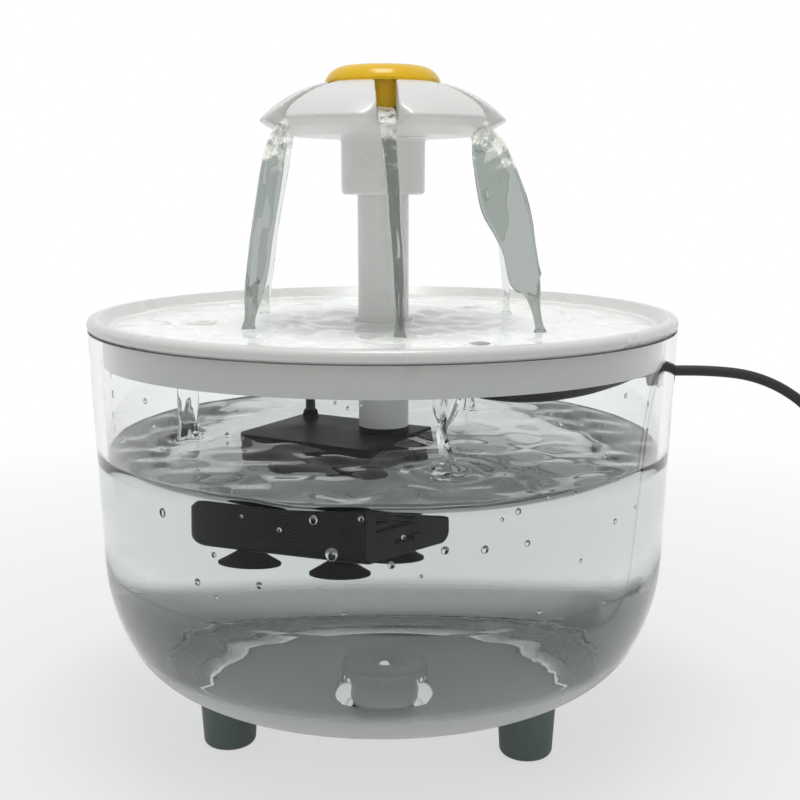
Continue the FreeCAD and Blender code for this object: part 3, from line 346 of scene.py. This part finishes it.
rim_steps = [wall + IN_WALL - 0.45 * step for step in range(7)]
steps_inward = [(wall - 2.7) * (94 - step) / 94 + IN_WALL for step in range(1, 94)]
surface = [(r, WATER_LEVEL) for r in rim_steps + steps_inward if r > 0.6] + [(0, WATER_LEVEL)]
reservoir = spun("water_reservoir", inside + surface, WATER_LEVEL, reservoir_rise)
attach(reservoir, "root")
water, add, link = clear("water", 1.333, (0.98, 0.985, 0.985), 0.0, (0.97, 0.98, 0.98))
# The water's absorption darkens and faintly greens it along its depth: painted shade for the grey
# surroundings seen through the bowl.
water_painted_shade = add("VolumeAbsorption", Color=(0.12, 0.22, 0.2, 1), Density=1.9)
link(water_painted_shade.outputs["Volume"], water.node_tree.nodes["Material Output"].inputs["Volume"])
reservoir.data.materials.append(water)


# White mouldings: the tray, the riser tube and the flower are semi-gloss polypropylene,
# with soft clouding and a faint orange-peel.
white = moulded("white_plastic", (0.8, 0.8, 0.785), 0.3, clouding=0.02, grain=500, relief=0.06, depth=0.0003,
                Subsurface_Weight=0.08, Subsurface_Scale=0.004, Coat_Weight=0.2, Coat_Roughness=0.12)
dress(white, "tray", "riser_tube", "flower_petals")


# Flower: the same moulding with its edges rounded and its petals softened, as it comes from the mould.
# It is pushed over the riser tube, and its six gaps are the channels that the water runs out of.
FLOWER_VOXEL = 0.00055
FLOWER_EASING = 6
soft = bpy.data.objects.new("flower_soft", nodes["flower_petals"].data.copy())
soft.data.transform(nodes["flower_petals"].matrix_world)
scene.collection.objects.link(soft)
remesh = soft.modifiers.new("skin", "REMESH")
remesh.mode = "VOXEL"
remesh.voxel_size = FLOWER_VOXEL
ease = soft.modifiers.new("ease", "SMOOTH")
ease.factor = 0.5
ease.iterations = FLOWER_EASING
settled = bpy.data.meshes.new_from_object(soft.evaluated_get(bpy.context.evaluated_depsgraph_get()))
soft.modifiers.clear()
soft.data = settled
for face in settled.polygons:
    face.use_smooth = True
settled.materials.clear()
settled.materials.append(white)
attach(soft, "flower")
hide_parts("flower_petals")


# Tray pool: a film of water nearly to the brim of the dish, ringed by ripples where the streams land.
# It lies between the riser tube and the dish's rim, and lifts out with the tray.
POOL_LEVEL = 136.3
POOL_FLOOR = 130.8
POOL_INNER = 10.8
POOL_OUTER = 88.8
LANDINGS = [(-42.5, -16, 0.9, 7, 9), (5.4, -39, 0.85, 6.5, 8), (49, -23, 0.95, 7, 10), (42.6, 25, 0.8, 7, 8),
            (-42, 25, 0.8, 7, 8), (-2, 46, 0.8, 7, 8)]
POOL_CHOP = [(0.13, 0.11, 0.4, 0.2), (-0.2, 0.27, 2.3, 0.18), (0.36, -0.17, 1.1, 0.15),
             (0.12, 0.46, 3.4, 0.12), (-0.5, -0.33, 0.2, 0.1), (0.7, 0.4, 2.9, 0.06)]


def pool_rise(x, y):
    r = math.hypot(x, y)
    climb = max(0, (r - 86.2) / 2.4) + max(0, (13.5 - r) / 2.5)
    return swell(x, y, POOL_CHOP, LANDINGS) * min(1, max(0.2, (90 - r) / 8)) + 0.6 * climb * climb


dish = [(POOL_INNER, POOL_FLOOR), (POOL_OUTER, POOL_FLOOR)]
film = [(POOL_OUTER - (POOL_OUTER - POOL_INNER) * step / 89, POOL_LEVEL) for step in range(90)]
pool = spun("water_pool", dish + film, POOL_LEVEL, pool_rise, closed=True)
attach(pool, "tray")
thin_water = clear("water_film", 1.333, (0.97, 0.98, 0.98), 0.0, (0.95, 0.96, 0.96))[0]
pool.data.materials.append(thin_water)


# Streams: six flat ribbons of water that run out of the flower's channels and fall into the dish.
# Each row is the middle x, y, z, the angle of its breadth, its breadth and its thickness.
STREAMS = {
    "stream_front": [
        (0.7, -13.5, 202.4, 3, 6.2, 6.4), (1.1, -21, 202.0, 3, 6.2, 5.6), (1.5, -29, 201.0, 3, 6.2, 4.2),
        (1.9, -35.0, 198.9, 3, 5.4, 3.0), (2.4, -37.2, 193, 3, 4.4, 2.2), (3.1, -37.6, 184, 8, 4.2, 2.0),
        (3.8, -38, 172, 14, 4.0, 2.0), (4.6, -38.4, 160, 5, 3.6, 1.9), (5.1, -38.8, 148, -10, 3.4, 1.9),
        (5.3, -39, 139.5, 0, 3.0, 2.2), (5.4, -39, 136.4, 0, 4.0, 3.2), (5.4, -39, 134, 0, 5, 4),
    ],
    "stream_right": [
        (12.0, -6.1, 202.4, 63, 6.2, 6.4), (18.5, -9.5, 202.0, 63, 6.2, 5.6),
        (26.0, -13.3, 201.0, 63, 6.2, 4.2), (31.2, -15.9, 198.7, 50, 6.2, 3.0),
        (32.2, -17.0, 194, 20, 10.8, 2.0), (34.4, -18.0, 186, 8, 13.2, 1.7),
        (37.4, -19.4, 176, 2, 14.0, 1.6), (40.4, -20.6, 168, -4, 12.2, 1.6),
        (42.4, -21.4, 161, -6, 10.6, 1.6), (43.6, -21.8, 155, -4, 10.4, 1.6),
        (44.8, -22, 151.4, 0, 9.8, 1.7), (46.4, -22.4, 148.4, 0, 5.6, 1.8),
        (47.6, -22.7, 143, 0, 3.0, 2.0), (48.7, -22.9, 138, 0, 2.6, 2.2), (49.0, -23, 136.2, 0, 3.8, 3.0),
        (49.0, -23, 134, 0, 5, 4),
    ],
    "stream_left": [
        (-11.3, -7.4, 202.4, -57, 6.2, 6.4), (-17.5, -11.4, 202.0, -57, 6.2, 5.6),
        (-24.6, -16.0, 201.0, -57, 6.2, 4.2), (-29.6, -19.1, 198.7, -45, 5.6, 3.0),
        (-32.0, -19.4, 193.5, -15, 6.4, 2.0), (-34.4, -19.0, 183, -6, 7.2, 1.7),
        (-37.0, -18.2, 168, 4, 7.3, 1.5), (-39.2, -17.4, 155, 8, 6.9, 1.5),
        (-40.8, -16.6, 146, 4, 5.4, 1.7), (-41.9, -16.2, 139.5, 0, 3.4, 2.2),
        (-42.4, -16, 136.4, 0, 4.2, 3.2), (-42.6, -16, 134, 0, 5, 4),
    ],
    "stream_rear_right": [
        (11.3, 7.4, 202.4, -57, 6.2, 6.4), (17.6, 11.5, 202.0, -57, 6.2, 5.6),
        (25.0, 16.2, 201.0, -57, 6.2, 4.2), (30.2, 19.6, 198.7, -50, 5.6, 3.0),
        (34.4, 21.0, 192, 0, 6.4, 1.8), (38.4, 22.4, 178, 10, 5.6, 1.6), (41.4, 23.6, 162, 10, 4.4, 1.6),
        (42.4, 24.6, 148, 10, 3.2, 1.6), (42.6, 25, 139.5, 0, 2.4, 1.8), (42.6, 25, 136.4, 0, 3.4, 2.8),
        (42.6, 25, 134, 0, 4, 4),
    ],
    "stream_rear_left": [
        (-12.0, 6.1, 202.4, 63, 6.2, 6.4), (-18.6, 9.5, 202.0, 63, 6.2, 5.6),
        (-26.4, 13.6, 201.0, 63, 6.2, 4.2), (-31.4, 16.3, 198.7, 50, 5.6, 3.0),
        (-34.0, 18.2, 192, 20, 6.4, 1.8), (-37.0, 20.6, 178, -20, 6.6, 1.6),
        (-39.4, 22.8, 162, -30, 6.0, 1.6), (-41.4, 24.4, 148, 0, 5.0, 1.8), (-42, 25, 139.5, 0, 3.6, 2.2),
        (-42, 25, 136.4, 0, 4.4, 3.2), (-42, 25, 134, 0, 5, 4),
    ],
    "stream_rear": [
        (-0.7, 13.5, 202.4, 3, 6.2, 6.4), (-1.1, 21, 202.0, 3, 6.2, 5.6), (-1.5, 29, 201.0, 3, 6.2, 4.2),
        (-1.9, 35.0, 198.9, 3, 5.4, 3.0), (-2.0, 38.0, 192, 3, 4.8, 2.2),
        (-2.2, 40.4, 178, -20, 5.0, 2.0), (-2.2, 43.0, 162, 10, 5.2, 1.8),
        (-2.0, 45.0, 148, 30, 4.8, 1.9), (-2, 46, 139.5, 0, 3.6, 2.2), (-2, 46, 136.4, 0, 4.4, 3.2),
        (-2, 46, 134, 0, 5, 4),
    ],
}


def blended(rows, place):
    """The rows' values at a place along them, on a Catmull-Rom curve."""
    index = min(int(place), len(rows) - 2)
    t = place - index
    a, b, c, d = (rows[min(max(index + step, 0), len(rows) - 1)] for step in (-1, 0, 1, 2))
    return [
        0.5 * (2 * q + (r - p) * t + (2 * p - 5 * q + 4 * r - s) * t * t + (3 * q - p - 3 * r + s) * t ** 3)
        for p, q, r, s in zip(a, b, c, d)
    ]


def drawn(name, rings):
    """A skin extruded from ring to ring and closed at both ends, in millimetres."""
    mesh = bmesh.new()
    ring = bmesh.ops.create_circle(mesh, segments=len(rings[0]), radius=1, cap_ends=True)["verts"]
    for number, points in enumerate(rings):
        if number:
            edges = [mesh.edges.get(pair) for pair in zip(ring, ring[1:] + ring[:1])]
            fresh = bmesh.ops.extrude_edge_only(mesh, edges=edges)["geom"]
            ring = [next(edge.other_vert(vert) for edge in vert.link_edges if edge.other_vert(vert) in fresh)
                    for vert in ring]
        for vert, point in zip(ring, points):
            vert.co = point / 1000
    bmesh.ops.holes_fill(mesh, edges=mesh.edges, sides=len(ring))
    return finished(name, mesh)


def ribbon(name, rows, body, seed, material, steps=9, ragged=0.12, sides=20, rim=0.6):
    """A falling ribbon of water: thin in the middle, with thicker rolled edges."""
    rings = []
    total = (len(rows) - 1) * steps
    for step in range(total + 1):
        place = step / steps
        x, y, z, angle, breadth, thick = blended(rows, place)
        ahead = Vector(blended(rows, min(place + 0.05, len(rows) - 1))[:3])
        behind = Vector(blended(rows, max(place - 0.05, 0))[:3])
        along = (ahead - behind).normalized()
        side = Vector((math.cos(math.radians(angle)), math.sin(math.radians(angle)), 0))
        side = (side - along * side.dot(along)).normalized()
        front = along.cross(side)
        ring = []
        for index in range(sides):
            turn = 2 * math.pi * index / sides
            u, v = math.cos(turn), math.sin(turn)
            wobble = noise.noise(Vector((u * 1.1 + seed, z * 0.055, v * 0.7))) * ragged
            waist = 1 - rim * (1 - u * u)
            lumps = 1 + 0.5 * noise.noise(Vector((u * 2.2, z * 0.12 + seed, seed)))
            ring.append(Vector((x, y, z)) + side * (breadth / 2 * (u + wobble * 2))
                        + front * (thick / 2 * v * (waist + 0.35) * lumps + thick * wobble))
        rings.append(ring)
    made = drawn(name, rings)
    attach(made, body)
    made.data.materials.append(material)


def poured(name, tint):
    """Water that falls: sheets greyed with painted shade for the darker surroundings seen in them, that turn
    white and frothy in the channels.
    """
    made, add, link = clear(name, 1.333, tint, 0.02, (0.8, 0.82, 0.82), waves=0.12, wave_size=200.0)
    shader = made.node_tree.nodes["Principled BSDF"]
    part = add("SeparateXYZ")
    froth = add("TexNoise", Scale=260.0, Detail=2.0)
    mottle = add("MapRange", From_Min=0.4, From_Max=0.6, To_Min=-0.006, To_Max=0.006)
    place = add("TexCoord").outputs["Object"]
    link(place, part.inputs["Vector"])
    link(place, froth.inputs["Vector"])
    link(froth.outputs["Fac"], mottle.inputs["Value"])
    height = joined(add, link, "ADD", part.outputs["Z"], mottle.outputs["Result"])
    tone = add("Mix")
    tone.data_type = "RGBA"
    tone.inputs[6].default_value = (0.93, 0.94, 0.9, 1)
    tone.inputs[7].default_value = (*tint, 1)
    link(blend_at(add, link, height, 0.19, soft=0.004), tone.inputs[0])
    link(tone.outputs[2], shader.inputs["Base Color"])
    link(blend_at(add, link, height, 0.196, 1.0, 0.4, 0.005), shader.inputs["Transmission Weight"])
    return made


# The front sheets are painted a dark grey and the rear ones a light grey: painted shade for the surroundings
# seen through falling water.
front_water_painted_shade = poured("water_poured", (0.42, 0.45, 0.43))
rear_water_painted_shade = poured("water_poured_rear", (0.8, 0.83, 0.81))
for seed, (name, rows) in enumerate(STREAMS.items()):
    sheet = rear_water_painted_shade if "rear" in name else front_water_painted_shade
    ribbon(name, rows, "flower", 3.7 * seed + 1.3, sheet, ragged=0.06)


# Falls: clear water that leaves the drains under the tray and twists down into the reservoir.
# Each hangs from its drain's hole and moves with the tray. The rows are as for the streams.
FALLS = {
    "fall_front": [
        (24.0, -53, 129.4, 0, 5.0, 2.6), (21.0, -53, 125, 8, 7.0, 2.6), (18.4, -53, 120, 15, 7.6, 2.4),
        (17.8, -53, 115.5, 40, 6.6, 2.4), (17.6, -53, 111, 85, 5.2, 2.8), (18.3, -53, 106, 130, 4.4, 2.8),
        (19.2, -53, 102, 165, 5.2, 3.2), (19.6, -53, 99.6, 180, 8.5, 6.5), (19.6, -53, 96.8, 180, 11, 8),
    ],
    "fall_left": [
        (-60.5, 1.0, 129.4, 0, 4.0, 2.4), (-62.4, -2.0, 125, 10, 6.8, 2.0), (-63.6, -5.2, 118, 0, 7.6, 1.6),
        (-64.2, -6.6, 111, -12, 7.0, 1.6), (-64.6, -7.0, 104.5, 0, 5.4, 2.0), (-64.8, -7, 99.8, 10, 6.5, 4.5),
        (-64.8, -7, 96.8, 10, 9, 7),
    ],
    "fall_rear": [
        (31.8, 50.6, 129.4, 0, 4.0, 2.6), (31.8, 50.0, 120, 40, 3.8, 2.4), (31.8, 49, 108, 90, 3.2, 2.4),
        (31.8, 48, 97, 130, 5.0, 4.0),
    ],
}
for seed, (name, rows) in enumerate(FALLS.items()):
    ribbon(name, rows, "tray", 2.9 * seed + 8.1, thin_water, steps=14, ragged=0.3, rim=0.5)


# Drops and bubbles: beads on the bowl's wall above and below the waterline.
# Each bead is its azimuth round the bowl from the right, its height, and its radius.
BEADS = [
    (-101, 94.2, 1.2), (-98, 84.9, 1.7), (-107, 90.8, 0.7), (-72, 85.2, 1.1), (-64, 85.5, 0.9),
    (-60, 97.9, 0.6), (-54, 97.5, 0.6), (-66, 94.9, 0.9), (-69, 93.1, 0.6), (-88, 82.2, 1),
    (-45, 62.4, 0.6), (-61, 65, 0.6), (-96, 68.4, 0.6), (-132, 90.2, 1.3), (-124, 72.3, 1),
    (-120, 81.3, 0.8), (-86, 89.9, 0.7), (-111, 74.5, 1), (-79, 85.8, 1.1), (-120, 69, 0.6),
    (-114, 93.5, 0.5), (-83, 78.9, 0.5), (-93, 94.9, 0.8), (-43, 86.1, 0.8), (-36, 88.1, 0.6),
    (-52, 77.3, 0.6), (-116, 115.7, 0.8), (-121, 114.9, 0.7), (-116, 113.2, 0.6), (-97, 126, 0.5),
    (-95, 124.7, 0.5), (-93, 125.6, 0.5), (-58, 117.8, 0.6), (-47, 106.4, 0.6), (-33, 110.1, 0.7),
    (-144, 107.9, 0.7), (-135, 121.7, 0.8), (-133, 115.1, 0.6), (-42, 122.6, 0.7), (-29, 122.7, 0.6),
    (183, 124, 1), (184, 119.5, 0.8), (183.5, 113, 1.2), (185, 106.5, 1), (184, 101.5, 0.8),
    (186, 93, 1.2), (185, 87, 0.9), (187, 80, 1.1), (186, 72, 0.9), (189, 64, 1), (190, 57, 0.8),
    (193, 50, 0.9), (40, 112, 0.8), (62, 118, 0.7), (95, 110, 0.9), (120, 116, 0.7), (75, 84, 0.9),
    (105, 88, 1), (135, 80, 0.8), (152, 96, 0.7), (20, 86, 0.8), (2, 108, 0.9), (-8, 92, 0.7),
]


def beads(name, places, material, body, flat=0.6):
    """Flattened beads as one object, each turned to the wall it sits on."""
    mesh = bmesh.new()
    for x, y, z, r in places:
        out = Vector((x, y, 0)).normalized()
        turn = out.to_track_quat("Z", "Y").to_matrix().to_4x4()
        size = Matrix.Diagonal((r / 1000, r / 1000 * 1.1, r / 1000 * flat, 1))
        bmesh.ops.create_icosphere(mesh, subdivisions=3, radius=1,
                                   matrix=Matrix.Translation(Vector((x, y, z)) / 1000) @ turn @ size)
    made = finished(name, mesh)
    made.data.materials.append(material)
    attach(made, body)


on_wall = []
for azimuth, height, radius in BEADS:
    aim = Vector((math.cos(math.radians(azimuth)), math.sin(math.radians(azimuth)), 0))
    spot = bowl_tree.ray_cast(Vector((0, 0, height / 1000)), aim)[0] * 1000
    on_wall.append((spot.x, spot.y, spot.z, radius))
beads("water_beads", on_wall, thin_water, "root")


# Heart: the glossy yellow cap over the flower's well, moulded in polypropylene.
# Its skirt drops into the well, and its brim rests on the petals.
dress(moulded("yellow_plastic", (0.9, 0.55, 0.004), 0.25, clouding=0.04, grain=500, relief=0.05,
              Specular_IOR_Level=0.3, Coat_Weight=0.08, Coat_Roughness=0.08), "flower_heart")


# Pump: a satin black ABS housing, cover, slider and nozzle, with rubber cups, bushes and gland.
# It holds a sponge, a ceramic shaft, a magnet rotor, and a steel core and copper coil under potting.
dress(moulded("black_plastic", (0.006, 0.007, 0.008), 0.4, clouding=0.25, grain=1300, relief=0.25,
              Specular_IOR_Level=0.1),
      "pump_housing", "pump_front_cover", "flow_slider", "outlet_nozzle", "volute_cover")
dress(moulded("black_rubber", (0.007, 0.007, 0.008), 0.55, clouding=0.2, grain=1500, relief=0.3,
              Specular_IOR_Level=0.1),
      "suction_cup_1", "suction_cup_2", "suction_cup_3", "suction_cup_4", "nozzle_ring", "front_bush",
      "rear_bush", "cable_gland")
dress(moulded("foam", (0.04, 0.04, 0.042), 0.95, clouding=0.4, grain=900, relief=1.0, depth=0.0008),
      "intake_sponge")
dress(moulded("potting", (0.03, 0.03, 0.032), 0.25, clouding=0.1, grain=120, relief=0.3), "pump_back_plate")
dress(moulded("ceramic_shaft", (0.84, 0.83, 0.8), 0.18, grain=2000, relief=0.05), "impeller_shaft")
dress(moulded("magnet", (0.06, 0.06, 0.065), 0.5, grain=2200, relief=0.3, Metallic=0.6), "rotor_magnet")
dress(moulded("impeller_plastic", (0.7, 0.71, 0.72), 0.35), "impeller")
dress(moulded("core_steel", (0.3, 0.3, 0.31), 0.4, grain=1800, relief=0.3, Metallic=1.0), "stator_core")
dress(moulded("copper_coil", (0.62, 0.26, 0.1), 0.35, grain=900, relief=0.6, Metallic=1.0), "stator_coil")


# Studio: a white floor and backdrop, which fade to plain white away from the object's shadow.
# Mirror and glass rays see the backdrop too, with a greyer band above the horizon.
def studio_floor():
    made, add, link, shader, place = new_material("studio_floor")
    shader.inputs["Base Color"].default_value = (0.85, 0.85, 0.85, 1)
    shader.inputs["Roughness"].default_value = 0.9
    length = add("VectorMath")
    length.operation = "LENGTH"
    link(place, length.inputs[0])
    fade = add("MapRange", From_Min=0.12, From_Max=0.5, To_Min=0.6, To_Max=1.0)
    link(length.outputs["Value"], fade.inputs["Value"])
    seen = ray_seen(add, link)
    share = add("Math")
    share.operation = "MULTIPLY"
    link(seen, share.inputs[0])
    link(fade.outputs["Result"], share.inputs[1])
    bright = add("Emission", Strength=1.0)
    both = add("MixShader")
    link(share.outputs["Value"], both.inputs["Fac"])
    link(shader.outputs["BSDF"], both.inputs[1])
    link(bright.outputs["Emission"], both.inputs[2])
    link(both.outputs["Shader"], made.node_tree.nodes["Material Output"].inputs["Surface"])
    return made


def ray_seen(add, link):
    """1 for camera, glossy and transmission rays, and otherwise 0."""
    path = add("LightPath")
    first = add("Math")
    second = add("Math")
    first.operation = second.operation = "MAXIMUM"
    link(path.outputs["Is Camera Ray"], first.inputs[0])
    link(path.outputs["Is Glossy Ray"], first.inputs[1])
    link(first.outputs["Value"], second.inputs[0])
    link(path.outputs["Is Transmission Ray"], second.inputs[1])
    return second.outputs["Value"]


mesh = bmesh.new()
bmesh.ops.create_grid(mesh, x_segments=2, y_segments=2, size=30)
data = bpy.data.meshes.new("studio_floor")
mesh.to_mesh(data)
mesh.free()
floor = bpy.data.objects.new("studio_floor", data)
scene.collection.objects.link(floor)
floor.data.materials.append(studio_floor())

world = bpy.data.worlds.new("studio")
scene.world = world
world.use_nodes = True
tree = world.node_tree
tree.nodes.clear()


def add_to_world(kind, **inputs):
    node = tree.nodes.new("ShaderNode" + kind)
    for key, value in inputs.items():
        node.inputs[key.replace("_", " ")].default_value = value
    return node


link = tree.links.new
seen = ray_seen(add_to_world, link)
sky = add_to_world("SeparateXYZ")
aim = add_to_world("TexCoord")
link(aim.outputs["Generated"], sky.inputs["Vector"])
ramp = add_to_world("ValToRGB")
ramp.color_ramp.elements[0].position = 0.06
ramp.color_ramp.elements[0].color = (1, 1, 1, 1)
ramp.color_ramp.elements[1].position = 0.22
ramp.color_ramp.elements[1].color = (0.76, 0.77, 0.77, 1)
top = ramp.color_ramp.elements.new(0.85)
top.color = (0.9, 0.9, 0.9, 1)
link(sky.outputs["Z"], ramp.inputs["Fac"])
camera_ray = add_to_world("LightPath")
plain = add_to_world("Mix")
plain.data_type = "RGBA"
link(camera_ray.outputs["Is Camera Ray"], plain.inputs[0])
link(ramp.outputs["Color"], plain.inputs[6])
plain.inputs[7].default_value = (1, 1, 1, 1)
shown = add_to_world("Background", Strength=1.0)
link(plain.outputs[2], shown.inputs["Color"])
light = add_to_world("Background", Color=(1, 1, 1, 1), Strength=0.45)
both = add_to_world("MixShader")
link(seen, both.inputs["Fac"])
link(light.outputs["Background"], both.inputs[1])
link(shown.outputs["Background"], both.inputs[2])
output = add_to_world("OutputWorld")
link(both.outputs["Shader"], output.inputs["Surface"])


# Lamp: one soft box, 1 m above the table. It gives the flower's shadow on the pool,
# and the world fills in the rest.
lamp = bpy.data.objects.new("soft_box", bpy.data.lights.new("soft_box", "AREA"))
lamp.data.shape = "SQUARE"
lamp.data.size = 0.3
lamp.data.energy = 3.4
lamp.location = (0, -0.1, 1.0)
scene.collection.objects.link(lamp)
